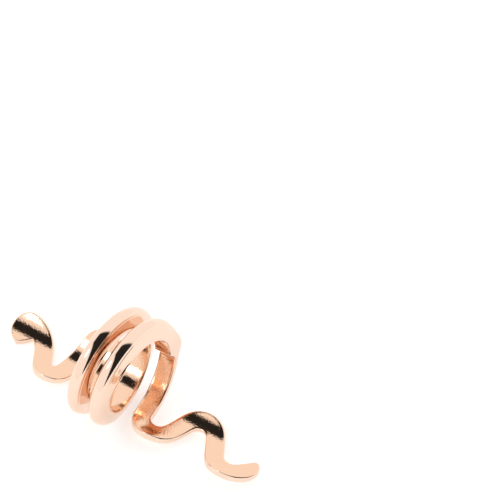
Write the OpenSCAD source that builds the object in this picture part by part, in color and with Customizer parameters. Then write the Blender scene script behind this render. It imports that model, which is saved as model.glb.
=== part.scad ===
// Braid hair ring: one strip of cast metal wound as a left-handed coil, its two ends
// drawn out as flat wavy ribbons along the axis. One end is narrow, the other a broad round.
// Millimetres. Coil axis along X, narrow tail towards +X, +Z up, lying on z = 0.

/* [Coil] */
// Inside diameter of the coil, where the braid goes through
bore_d = 9; // [6:0.1:14]
// Distance from one turn of the flat ribbon to the next along the axis
pitch = 3.1; // [2.8:0.05:5]
// Distance from one turn of the thick band to the next along the axis
band_pitch = 2.8; // [2.4:0.05:5]
// Width of the thick band where it meets the bore
band_base_w = 2.3; // [1.5:0.05:2.6]
// Width of the thick band at the foot of its domed outer face
band_dome_w = 1.56; // [1:0.02:2.4]
// Thickness of the thick band from the bore to the foot of the dome
band_t = 1.42; // [0.8:0.02:3]
// Height of the dome
dome_h = 0.62; // [0.1:0.02:1]
// Shift of the thick band towards the narrow tail's side
band_shift = 0.1; // [0:0.05:0.5]
// Thickness of the thick band at its two ends, where it is as wide as the ribbon
band_end_t = 2.2; // [1:0.05:3]
// Angle over which the dome goes over into the flat-topped end
blend_deg = 34; // [10:1:90]
// Angle round the coil where the thick band ends, at the narrow tail's side
band_near_deg = 39; // [-20:1:60]
// Angle round the coil where the thick band ends, at the broad tail's side
band_far_deg = -566; // [-580:1:-480]
// Angle over which the thick band runs out into the flat ribbon
shoulder_deg = 15; // [10:1:60]

/* [Ribbon] */
// Width of the flat ribbon
ribbon_w = 2.05; // [1:0.05:3]
// Thickness of the flat ribbon
ribbon_t = 0.7; // [0.4:0.05:1.2]
// Inside radius of the flat ribbon, measured from the coil axis
ribbon_r = 5.5; // [4.8:0.05:7]
// Width of the eased edge on the outer corners
edge_ease = 0.1; // [0.02:0.01:0.25]

/* [Narrow tail] */
// Angle round the coil where the narrow tail turns off
narrow_deg = 125; // [60:1:170]
// Distance between stations along the wavy tails
tail_step = 0.36; // [0.2:0.02:1]
// Length over which the narrow tip is rounded on its long side
tip_long = 2.1; // [0.8:0.1:4]
// Length over which the narrow tip is rounded on its short side
tip_short = 0.5; // [0.2:0.1:2]
// Sideways place of the point of the narrow tip
tip_shift = 0.45; // [0:0.05:0.9]

/* [Broad tail] */
// Angle round the coil where the broad tail turns off
broad_deg = -634; // [-680:1:-600]
// Radius of the broad round end
broad_r = 1.82; // [1.2:0.05:2.6]
// Sideways place of the centre of the broad round end
broad_shift = 0.8; // [0:0.05:1.4]

/* [Lying] */
// Turn of the coil about its axis as it lies
lay_roll = 60.4; // [0:0.1:90]
// Tilt of the coil axis as it lies, narrow tail down when positive
lay_tilt = -1.35; // [-6:0.05:6]
// Height of the coil axis over the floor at the first turn
lay_height = 6.58; // [5:0.001:9]
// Place of the first turn along the length, which centres the ring on the origin
lay_x = 0.749; // [-5:0.001:5]
// Place of the first turn across the length, which centres the ring on the origin
lay_y = -0.07; // [-2:0.001:2]

/* [Hidden] */
// columns: bend radius, angle of the bend, straight run after it
narrow_bends = [[1.95, 151, 1.85], [2.1, -125.5, 2.15], [2.2, 101, 2.35]];
broad_bends = [[1.4, 161.5, 4.2], [1.37, -138.4, 1.47], [4.1, 60, 1.3]];
coil_n = 139;
slices = 4;
slope = atan(pitch / (2 * PI * ribbon_r));
bore_skin = 0.12;

// distance along one row of a bend table
function bend_len(row) = row[0] * abs(row[1]) * PI / 180;
function rows_len(rows, i = 0) = i == len(rows) ? 0 : bend_len(rows[i]) + rows[i][2] + rows_len(rows, i + 1);

// stations are [distance round the ribbon's cylinder, distance along the axis, heading]
function bent(p, r, turn) = let (s = sign(turn), h = p[2] + turn)
    [p[0] - s * r * (sin(p[2]) - sin(h)), p[1] + s * r * (cos(p[2]) - cos(h)), h];
function ahead(p, d) = [p[0] + d * cos(p[2]), p[1] + d * sin(p[2]), p[2]];
function walk(p, rows, s, i = 0) = let (row = rows[i], b = bend_len(row), q = bent(p, row[0], row[1]))
    s <= b ? bent(p, row[0], row[1] * s / b)
    : s <= b + row[2] || i == len(rows) - 1 ? ahead(q, s - b)
    : walk(ahead(q, row[2]), rows, s - b - row[2], i + 1);

// half width of a rounded end, at distance t from its tip
function round_end(t, l) = t >= l ? 1 : sqrt(max(0, 1 - pow(1 - t / l, 2)));
function narrow_sides(t) = [
    tip_shift - (ribbon_w / 2 + tip_shift) * round_end(t, tip_long),
    tip_shift + (ribbon_w / 2 - tip_shift) * round_end(t, tip_short)];
function broad_sides(t) = let (h = t < 2 * broad_r ? broad_r * sqrt(max(0, 1 - pow(1 - t / broad_r, 2))) : 0)
    [t < broad_r ? broad_shift - h : -ribbon_w / 2,
     t < 2 * broad_r ? max(t < broad_r ? -9 : ribbon_w / 2, broad_shift + h) : ribbon_w / 2];

// share of thick band at an angle round the coil: 1 between the two ends, 0 out in the tails
function ease(v) = let (c = min(1, max(0, v))) c * c * (3 - 2 * c);
function share(a, from, over) =
    ease((band_near_deg + from - a) / over) * ease((a - band_far_deg + from) / over);
function thick(a) = share(a, shoulder_deg, shoulder_deg);
function domed(a) = share(a, 0, blend_deg);

// closed outline of the strip, as [sideways, radius], for a share k of thick band and d of dome
function mix(a, b, k) = a + (b - a) * k;
function outline(side, k, d) = let (
        mid = (side[0] + side[1]) / 2 + band_shift * d, hw = (side[1] - side[0]) / 2,
        base = mix(hw, band_base_w / 2, d), top = mix(hw, band_dome_w / 2, d),
        r0 = mix(ribbon_r, bore_d / 2 - bore_skin, k),
        r1 = mix(ribbon_r + ribbon_t, bore_d / 2 + mix(band_end_t, band_t, d), k),
        e = min(edge_ease, hw / 2), knee = mix(base, top, 1 - 2 * e / (r1 - r0)))
    concat(
        [for (i = [-slices : slices]) [mid + base * i / slices, r0]],
        [[mid + knee, r1 - e]],
        [for (i = [slices : -1 : -slices]) let (f = 90 * i / slices)
            [mid + (top - e * (1 - d)) * sin(f), r1 + dome_h * d * cos(f)]],
        [[mid - knee, r1 - e]]);

// point of the strip wrapped round the axis
function wrap(p, a, r) = let (g = (p[0] - a * sin(p[2])) / ribbon_r * 180 / PI)
    [p[1] + a * cos(p[2]), r * sin(g), r * cos(g)];

narrow_start = [ribbon_r * narrow_deg * PI / 180, pitch * narrow_deg / 360, slope];
broad_start = [ribbon_r * broad_deg * PI / 180, pitch * broad_deg / 360, slope + 180];
narrow_len = rows_len(narrow_bends);
broad_len = rows_len(broad_bends);
// stations from the broad end to the narrow end: [station, sides, share of thick band, share of dome]
narrow_part = concat(
    [for (s = [tail_step : tail_step : narrow_len - tip_long - 0.01]) s],
    [for (g = [90 : -10 : 0]) narrow_len - tip_long * (1 - cos(g))]);
broad_part = concat(
    [for (g = [4 : 11 : 180]) broad_len - broad_r * (1 - cos(g))],
    [for (s = [broad_len - 2 * broad_r - 0.06 : -tail_step : 0.01]) s]);
stations = concat(
    [for (s = broad_part) let (p = walk(broad_start, broad_bends, s), b = broad_sides(broad_len - s))
        [[p[0], p[1], p[2] + 180], [-b[1], -b[0]], 0, 0]],
    [for (i = [0 : coil_n]) let (a = broad_deg + (narrow_deg - broad_deg) * i / coil_n)
        [[ribbon_r * a * PI / 180, mix(pitch, band_pitch, domed(a)) * a / 360, slope],
         [-ribbon_w / 2, ribbon_w / 2], thick(a), domed(a)]],
    [for (s = narrow_part) [walk(narrow_start, narrow_bends, s), narrow_sides(narrow_len - s), 0, 0]]);

module strip() {
    rings = [for (st = stations) [for (v = outline(st[1], st[2], st[3])) wrap(st[0], v[0], v[1])]];
    m = len(rings[0]);
    n = len(rings);
    polyhedron(
        points = [for (ring = rings) each ring],
        faces = concat(
            [[for (j = [m - 1 : -1 : 0]) j]],
            [for (i = [0 : n - 2], j = [0 : m - 1]) let (a = i * m + j, b = i * m + (j + 1) % m)
                each [[a, b, a + m], [b, b + m, a + m]]],
            [[for (j = [0 : m - 1]) (n - 1) * m + j]]));
}

module hair_ring() {
    color([0.93, 0.70, 0.58])
    translate([lay_x, lay_y, lay_height]) rotate([0, lay_tilt, 0]) rotate([-lay_roll, 0, 0])
    difference() {
        strip();
        translate([broad_start[1] - ribbon_w, 0, 0]) rotate([0, 90, 0])
            cylinder(d = bore_d, h = narrow_start[1] - broad_start[1] + 2 * ribbon_w, $fn = 180);
    }
}

hair_ring();
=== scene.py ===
from math import atan, cos, pi, radians, sin, sqrt

import bmesh
import bpy
from mathutils import Matrix, Vector


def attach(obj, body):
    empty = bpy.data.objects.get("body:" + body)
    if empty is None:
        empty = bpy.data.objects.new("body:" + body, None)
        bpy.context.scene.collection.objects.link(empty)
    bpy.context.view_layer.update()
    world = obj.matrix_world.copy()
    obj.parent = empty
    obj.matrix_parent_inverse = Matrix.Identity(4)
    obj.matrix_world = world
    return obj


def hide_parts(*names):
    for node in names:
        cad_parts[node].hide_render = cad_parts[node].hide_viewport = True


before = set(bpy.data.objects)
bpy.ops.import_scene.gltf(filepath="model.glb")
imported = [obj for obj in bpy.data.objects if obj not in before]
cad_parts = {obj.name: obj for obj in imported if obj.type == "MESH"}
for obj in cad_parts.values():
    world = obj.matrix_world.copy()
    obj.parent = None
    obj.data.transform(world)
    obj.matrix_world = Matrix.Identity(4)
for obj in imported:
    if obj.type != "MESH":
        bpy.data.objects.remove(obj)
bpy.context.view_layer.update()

scene = bpy.context.scene

# ---- The metal strip -------------------------------------------------------------------
# One strip of cast zinc alloy, polished and plated in rose gold. Its middle is a thick domed
# band wound left-handed as a coil, and its ends are flat ribbon bent in waves along the axis.
# Sizes are in millimetres and degrees, in the coil's own axes.
BORE_R = 4.5
PITCH, BAND_PITCH = 3.1, 2.8            # per turn, of the flat ribbon and of the thick band
BAND_BASE, BAND_DOME = 1.15, 0.78       # half widths at the bore and at the foot of the dome
BAND_T, BAND_END_T = 1.42, 2.2          # thickness under the dome and at the band's two ends
DOME_H, BAND_SHIFT = 0.62, 0.1
BASE_SKIN = 0.12                        # what the bore cuts off the inside of the band
BAND_NEAR, BAND_FAR = 39, -566          # angles round the coil where the band ends
SHOULDER, BLEND = 15, 34                # angles over which its shoulder and its dome run out
HALF_W, RIBBON_T, RIBBON_R = 1.025, 0.7, 5.5
EDGE_R = 0.13                           # rounding that polishing leaves on every edge
DOME_EDGE_R = 0.04                      # the sharper edge at the foot of the dome
NARROW_TURN, BROAD_TURN = 125, -634     # angles round the coil where the tails turn off
NARROW_BENDS = ((1.95, 151, 1.85), (2.1, -125.5, 2.15), (2.2, 101, 2.35))  # radius, angle, run
BROAD_BENDS = ((1.4, 161.5, 4.2), (1.37, -138.4, 1.47), (4.1, 60, 1.3))
TIP_LONG, TIP_SHORT, TIP_SHIFT = 2.1, 0.5, 0.45
BROAD_R, BROAD_SHIFT = 1.82, 0.8
LAY_AT, LAY_TILT, LAY_ROLL = (0.749, -0.07, 6.58), -1.35, -60.4
LAY = (Matrix.Scale(0.001, 4) @ Matrix.Translation(LAY_AT)
       @ Matrix.Rotation(radians(LAY_TILT), 4, "Y") @ Matrix.Rotation(radians(LAY_ROLL), 4, "X"))

TURN_STEPS = 506                        # along the coil
TAIL_STEP, TIP_STEP = 0.1, 5            # millimetres along a tail, degrees round its tip
NO_TIP = 9                              # so far from a tip that nothing is rounded off
EDGE_ARC = (0, 22, 45, 67, 90)          # degrees round an edge, from the face to the side
DOME_ARC = range(80, -1, -10)           # degrees up the dome
INNER_STEPS, WALL_STEPS = 5, 3          # over half the inner face, and up each side
POINT_GAP = 0.12                        # from one point of the outline to the next, about
SAME_PLACE = 1e-7                       # metres between points that are one


def mix(a, b, k):
    return a + (b - a) * k


def ease(v):
    v = min(1, max(0, v))
    return v * v * (3 - 2 * v)


def band_share(angle, start, over):
    """Rises from 0 at `start` degrees beyond the thick band's ends to 1 after `over` degrees."""
    return ease((BAND_NEAR + start - angle) / over) * ease((angle - BAND_FAR + start) / over)


def along_bends(place, bends, s):
    """The place (round, along, heading) at a distance s down a tail."""
    u, x, heading = place
    for row, (r, angle, run) in enumerate(bends):
        length = r * radians(abs(angle))
        part = min(1, s / length)
        side = 1 if angle > 0 else -1
        turned = heading + radians(angle) * part
        u -= side * r * (sin(heading) - sin(turned))
        x += side * r * (cos(heading) - cos(turned))
        heading = turned
        s -= length
        if s <= 0:
            break
        step = s if row == len(bends) - 1 else min(s, run)
        u += step * cos(heading)
        x += step * sin(heading)
        s -= run
        if s <= 0:
            break
    return u, x, heading


def tail_length(bends):
    return sum(r * radians(abs(angle)) + run for r, angle, run in bends)


def tail_steps(length, round_l):
    """Distances from the tip: close together on the rounded end, then even."""
    tip = [round_l * (1 - cos(radians(g))) for g in range(0, 91, TIP_STEP)]
    count = int((length - round_l) / TAIL_STEP)
    return tip + [mix(round_l, length, i / count) for i in range(1, count)]


def round_end(t, length):
    """Share of its full width that a rounded end has at a distance t from its tip."""
    return 1 if t >= length else sqrt(max(0, 1 - (1 - t / length) ** 2))


def coil_sides(t, inset):
    """Both sides of the plain strip, inset from its outline."""
    return -HALF_W + inset, HALF_W - inset


def narrow_sides(t, inset):
    """Both sides of the narrow tip at a distance t from its end, inset from its outline."""
    low = (HALF_W + TIP_SHIFT - inset) * round_end(t - inset, TIP_LONG - inset)
    high = (HALF_W - TIP_SHIFT - inset) * round_end(t - inset, TIP_SHORT - inset)
    return TIP_SHIFT - low, TIP_SHIFT + high


def broad_sides(t, inset):
    """Both sides of the broad round end, which the ribbon runs into along one side."""
    half = sqrt(max(0, (BROAD_R - inset) ** 2 - (BROAD_R - t) ** 2))
    if t < BROAD_R:
        return -BROAD_SHIFT - half, -BROAD_SHIFT + half
    return min(-HALF_W + inset, -BROAD_SHIFT - half), HALF_W - inset


def outline(sides, t, thick, dome):
    """Closed outline of the strip across its length, from the inner face's middle round."""
    inner_r = max(BORE_R, mix(RIBBON_R, BORE_R - BASE_SKIN, thick))
    outer_r = mix(RIBBON_R + RIBBON_T, BORE_R + mix(BAND_END_T, BAND_T, dome), thick)
    top_edge = mix(EDGE_R, DOME_EDGE_R, dome)

    def edge(width, inset, r):
        """Middle and half width at an inset, and how far the rounded face has dropped there."""
        inset = min(inset, t)
        low, high = sides(t, inset)
        middle, half = (low + high) / 2 + BAND_SHIFT * dome, (high - low) / 2
        drop = r - sqrt(max(0, r * r - (r - inset) ** 2))
        return middle, mix(half, width - inset, dome), drop

    def rounded(width, radius, outwards, r, arc):
        """The rounded edge of a face, point by point."""
        points = []
        for angle in arc:
            middle, half, drop = edge(width, r * (1 - sin(radians(angle))), r)
            points.append((middle, half, radius - outwards * drop))
        return points

    middle, half, drop = edge(BAND_BASE, EDGE_R, EDGE_R)
    inner = [(middle, half * i / INNER_STEPS, inner_r + drop) for i in range(INNER_STEPS)]
    inner += rounded(BAND_BASE, inner_r, -1, EDGE_R, EDGE_ARC)
    middle, half, drop = edge(BAND_DOME, top_edge, top_edge)
    outer = rounded(BAND_DOME, outer_r, 1, top_edge, EDGE_ARC[::-1])
    outer += [(middle, half * sin(radians(f)), outer_r - drop + DOME_H * dome * cos(radians(f)))
              for f in DOME_ARC]
    wall = [tuple(mix(a, b, i / WALL_STEPS) for a, b in zip(inner[-1], outer[0]))
            for i in range(1, WALL_STEPS)]
    one_side = inner + wall + outer
    return [(m + h, r) for m, h, r in one_side] + [(m - h, r) for m, h, r in one_side[-2:0:-1]]


def wrapped(place, sideways, radius):
    """A point of the flat pattern, rolled round the coil's axis."""
    u, x, heading = place
    angle = (u - sideways * sin(heading)) / RIBBON_R
    return LAY @ Vector((x + sideways * cos(heading), radius * sin(angle), radius * cos(angle)))


slope = atan(PITCH / (2 * pi * RIBBON_R))
narrow_start = (RIBBON_R * radians(NARROW_TURN), PITCH * NARROW_TURN / 360, slope)
broad_start = (RIBBON_R * radians(BROAD_TURN), PITCH * BROAD_TURN / 360, slope + pi)
narrow_len, broad_len = tail_length(NARROW_BENDS), tail_length(BROAD_BENDS)

stations = []            # place, sides, distance from the tip, share of thick band and of dome
for t in tail_steps(broad_len, 2 * BROAD_R):
    u, x, heading = along_bends(broad_start, BROAD_BENDS, broad_len - t)
    stations.append(((u, x, heading + pi), broad_sides, t, 0, 0))
for i in range(TURN_STEPS + 1):
    angle = mix(BROAD_TURN, NARROW_TURN, i / TURN_STEPS)
    thick, dome = band_share(angle, SHOULDER, SHOULDER), band_share(angle, 0, BLEND)
    place = (RIBBON_R * radians(angle), mix(PITCH, BAND_PITCH, dome) * angle / 360, slope)
    stations.append((place, coil_sides, NO_TIP, thick, dome))
for t in reversed(tail_steps(narrow_len, TIP_LONG)):
    place = along_bends(narrow_start, NARROW_BENDS, narrow_len - t)
    stations.append((place, narrow_sides, t, 0, 0))

# each outline is extruded from the last one, and tells the plating where on the strip it is
strip = bmesh.new()
inner_layer = strip.verts.layers.float.new("inner_face")
place_layer = strip.verts.layers.float_vector.new("strip_place")     # along and around it, mm
edge_steps = len(EDGE_ARC) - 1
along = 0
loop = bmesh.ops.create_circle(strip, segments=len(outline(*stations[0][1:])), radius=1)["verts"]
for number, (place, sides, t, thick, dome) in enumerate(stations):
    if number:
        edges = [strip.edges.get((a, b)) for a, b in zip(loop, loop[1:] + loop[:1])]
        extruded = bmesh.ops.extrude_edge_only(strip, edges=edges)["geom"]
        new = {v for v in extruded if isinstance(v, bmesh.types.BMVert)}
        loop = [next(e.other_vert(v) for e in v.link_edges if e.other_vert(v) in new) for v in loop]
        before = stations[number - 1][0]
        along += sqrt((place[0] - before[0]) ** 2 + (place[1] - before[1]) ** 2)
    section = outline(sides, t, thick, dome)
    for j, (v, (sideways, radius)) in enumerate(zip(loop, section)):
        v.co = wrapped(place, sideways, radius)
        from_middle = min(j, len(section) - j)
        v[inner_layer] = min(1, max(0, (INNER_STEPS + edge_steps - from_middle) / edge_steps))
        v[place_layer] = (along, from_middle * POINT_GAP, 0)
bmesh.ops.remove_doubles(strip, verts=strip.verts, dist=SAME_PLACE)
bmesh.ops.recalc_face_normals(strip, faces=strip.faces)
mesh = bpy.data.meshes.new("hair_ring_strip")
strip.to_mesh(mesh)
strip.free()
mesh.shade_smooth()
ring = bpy.data.objects.new("hair_ring_strip", mesh)
scene.collection.objects.link(ring)
flat = ring.modifiers.new("Flat faces", "WEIGHTED_NORMAL")
flat.keep_sharp = True

metal = bpy.data.materials.new("Rose gold plate")
metal.use_nodes = True
nodes, links = metal.node_tree.nodes, metal.node_tree.links
shader = nodes["Principled BSDF"]
shader.inputs["Metallic"].default_value = 1

# the plate: grainy as cast on the inner face and painted a deeper orange there as painted shade,
# pale and finely scratched where polished
POLISHED, INNER_PAINTED_SHADE = (0.88, 0.655, 0.52, 1), (0.87, 0.58, 0.41, 1)
NOISE_LOW, NOISE_HIGH = 0.3, 0.7        # nearly all values of a noise lie between these
MIX_INPUT, MIX_OUTPUT = {"FLOAT": 2, "RGBA": 6}, {"FLOAT": 0, "RGBA": 2}     # first of a kind
plate = bpy.data.node_groups.new("Plated casting and painted shade", "ShaderNodeTree")
for name, kind in (("Color", "NodeSocketColor"), ("Roughness", "NodeSocketFloat"),
                   ("Height", "NodeSocketFloat")):
    plate.interface.new_socket(name, in_out="OUTPUT", socket_type=kind)
finish = plate.nodes.new("NodeGroupOutput").inputs
inner_face = plate.nodes.new("ShaderNodeAttribute")
inner_face.attribute_name = "inner_face"
strip_place = plate.nodes.new("ShaderNodeAttribute")
strip_place.attribute_name = "strip_place"
in_object = plate.nodes.new("ShaderNodeTexCoord")


def noise(vector, scale, detail, stretch=(1, 1, 1)):
    mapping = plate.nodes.new("ShaderNodeMapping")
    mapping.inputs["Scale"].default_value = stretch
    texture = plate.nodes.new("ShaderNodeTexNoise")
    texture.inputs["Scale"].default_value = scale
    texture.inputs["Detail"].default_value = detail
    plate.links.new(vector, mapping.inputs["Vector"])
    plate.links.new(mapping.outputs["Vector"], texture.inputs["Vector"])
    return texture.outputs["Fac"]


def ranged(value, low, high):
    """A noise, spread between two values."""
    node = plate.nodes.new("ShaderNodeMapRange")
    node.inputs["From Min"].default_value = NOISE_LOW
    node.inputs["From Max"].default_value = NOISE_HIGH
    node.inputs["To Min"].default_value, node.inputs["To Max"].default_value = low, high
    plate.links.new(value, node.inputs["Value"])
    return node.outputs["Result"]


def blended(kind, polished, cast):
    """Goes from the polished value to the inner face's one (as cast, and for colour painted shade)
    with the share of inner face.
    """
    node = plate.nodes.new("ShaderNodeMix")
    node.data_type = kind
    plate.links.new(inner_face.outputs["Fac"], node.inputs[0])
    for socket, value in zip(node.inputs[MIX_INPUT[kind]:], (polished, cast)):
        if isinstance(value, tuple):
            socket.default_value = value
        else:
            plate.links.new(value, socket)
    return node.outputs[MIX_OUTPUT[kind]]


grain = noise(in_object.outputs["Object"], scale=5200, detail=3)
blotches = noise(in_object.outputs["Object"], scale=420, detail=2)
scratches = noise(strip_place.outputs["Vector"], scale=9, detail=4, stretch=(0.25, 4, 1))
# colour: the inner face's deeper orange is painted shade; its grain and roughness below are as cast
plate.links.new(blended("RGBA", POLISHED, INNER_PAINTED_SHADE), finish["Color"])
plate.links.new(blended("FLOAT", ranged(scratches, low=0.05, high=0.11),
                        ranged(blotches, low=0.03, high=0.08)), finish["Roughness"])
plate.links.new(blended("FLOAT", ranged(scratches, low=0, high=0.02), grain), finish["Height"])

surface = nodes.new("ShaderNodeGroup")
surface.node_tree = plate
bump = nodes.new("ShaderNodeBump")
bump.inputs["Distance"].default_value = 0.00001
links.new(surface.outputs["Color"], shader.inputs["Base Color"])
links.new(surface.outputs["Roughness"], shader.inputs["Roughness"])
links.new(surface.outputs["Height"], bump.inputs["Height"])
links.new(bump.outputs["Normal"], shader.inputs["Normal"])
mesh.materials.append(metal)
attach(ring, "root")
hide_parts("hair_ring")

# ---- Floor and light -------------------------------------------------------------------
# A matt white sheet in a white light tent. The tent's open side, dark behind it, runs from
# the narrow tail's side up over the top, and one small lamp box stands at the other side.
floor_mesh = bpy.data.meshes.new("floor")
sheet = bmesh.new()
bmesh.ops.create_circle(sheet, cap_ends=True, segments=96, radius=1.5)
sheet.to_mesh(floor_mesh)
sheet.free()
floor = bpy.data.objects.new("floor", floor_mesh)
scene.collection.objects.link(floor)
paper = bpy.data.materials.new("White paper")
paper.use_nodes = True
paper_shader = paper.node_tree.nodes["Principled BSDF"]
paper_shader.inputs["Base Color"].default_value = (0.93, 0.93, 0.93, 1)
paper_shader.inputs["Roughness"].default_value = 0.9
paper_shader.inputs["Emission Color"].default_value = (1, 1, 1, 1)
paper_shader.inputs["Emission Strength"].default_value = 0.45
floor_mesh.materials.append(paper)

# the opening in directions from the ring: its middle and half width across, each as a slope
# along the coil and an offset, how soft its sides are, and where it ends overhead
OPENING_MIDDLE, OPENING_HALF = (-0.2, -0.12), (0.3, 0.32)
OPENING_SOFT, OPENING_END = (-0.04, 0.04), (-0.56, -0.47)
OPENING_DARK = 0.98                     # share of the tent's light that it lacks
TENT = 1.12
world = bpy.data.worlds.new("White tent")
world.use_nodes = True
scene.world = world
tent = world.node_tree
backdrop = tent.nodes["Background"].inputs
backdrop["Strength"].default_value = TENT
direction = tent.nodes.new("ShaderNodeSeparateXYZ")
tent.links.new(tent.nodes.new("ShaderNodeTexCoord").outputs["Generated"], direction.inputs["Vector"])


def sums(operation, *values):
    """A sum of numbers and sockets, done by a node."""
    node = tent.nodes.new("ShaderNodeMath")
    node.operation = operation
    for socket, value in zip(node.inputs, values):
        if isinstance(value, (int, float)):
            socket.default_value = value
        else:
            tent.links.new(value, socket)
    return node.outputs["Value"]


def softly(value, low, high):
    """Goes from 0 to 1 while the value goes from low to high."""
    node = tent.nodes.new("ShaderNodeMapRange")
    node.interpolation_type = "SMOOTHSTEP"
    node.inputs["From Min"].default_value, node.inputs["From Max"].default_value = low, high
    tent.links.new(value, node.inputs["Value"])
    return node.outputs["Result"]


x, y = direction.outputs["X"], direction.outputs["Y"]
middle = sums("MULTIPLY_ADD", x, *OPENING_MIDDLE)
half = sums("MULTIPLY_ADD", x, *OPENING_HALF)
inside = sums("SUBTRACT", half, sums("ABSOLUTE", sums("SUBTRACT", y, middle)))
opening = sums("MULTIPLY", softly(inside, *OPENING_SOFT), softly(x, *OPENING_END))
tent.links.new(sums("MULTIPLY_ADD", opening, -OPENING_DARK, 1), backdrop["Color"])

LAMP_AT = Vector((-0.42, -0.53, 0.74)) * 0.6        # its direction from the ring, at 0.6 m
lamp = bpy.data.lights.new("lamp box", "AREA")
lamp.shape = "DISK"
lamp.size = 0.16
lamp.energy = 0.25
lamp_box = bpy.data.objects.new("lamp box", lamp)
lamp_turn = LAMP_AT.to_track_quat("Z", "Y").to_matrix().to_4x4()
lamp_box.matrix_world = Matrix.Translation(LAMP_AT) @ lamp_turn
scene.collection.objects.link(lamp_box)
scene.view_settings.view_transform = "Standard"

# ---- Camera ----------------------------------------------------------------------------
# A camera on a stand, 0.9 m from the ring, looking at the coil's side from above through a
# long lens. Its angles and its scale put the ring where the photograph shows it.
AXIS_TURN = radians(27.6)               # the coil's axis against the picture's horizontal
AXIS_VIEW = radians(69.2)               # the coil's axis against the line of sight
MM_PER_PX = 0.1051
CENTRE_PX = (135.7, 374.73)             # where the middle of the first turn is in the picture
IMAGE_PX = (482, 497)
DISTANCE = 0.9
SENSOR = 36
lay = LAY.to_3x3() * 1000               # the turn alone, without the scale to metres
across, up_coil = Vector((sin(AXIS_VIEW), cos(AXIS_VIEW), 0)), Vector((0, 0, 1))
right_dir = lay @ (cos(AXIS_TURN) * across + sin(AXIS_TURN) * up_coil)
up_dir = lay @ (-sin(AXIS_TURN) * across + cos(AXIS_TURN) * up_coil)
back_dir = right_dir.cross(up_dir)
aim = LAY @ Vector((0, 0, 0))
aim += right_dir * (IMAGE_PX[0] / 2 - CENTRE_PX[0]) * MM_PER_PX / 1000
aim -= up_dir * (IMAGE_PX[1] / 2 - CENTRE_PX[1]) * MM_PER_PX / 1000
lens = bpy.data.cameras.new("camera")
lens.sensor_fit = "HORIZONTAL"
lens.sensor_width = SENSOR
lens.lens = SENSOR * DISTANCE * 1000 / (IMAGE_PX[0] * MM_PER_PX)
camera = bpy.data.objects.new("camera", lens)
camera.matrix_world = Matrix.Translation(aim + back_dir * DISTANCE) @ Matrix(
    (right_dir, up_dir, back_dir)).transposed().to_4x4()
scene.collection.objects.link(camera)
scene.camera = camera
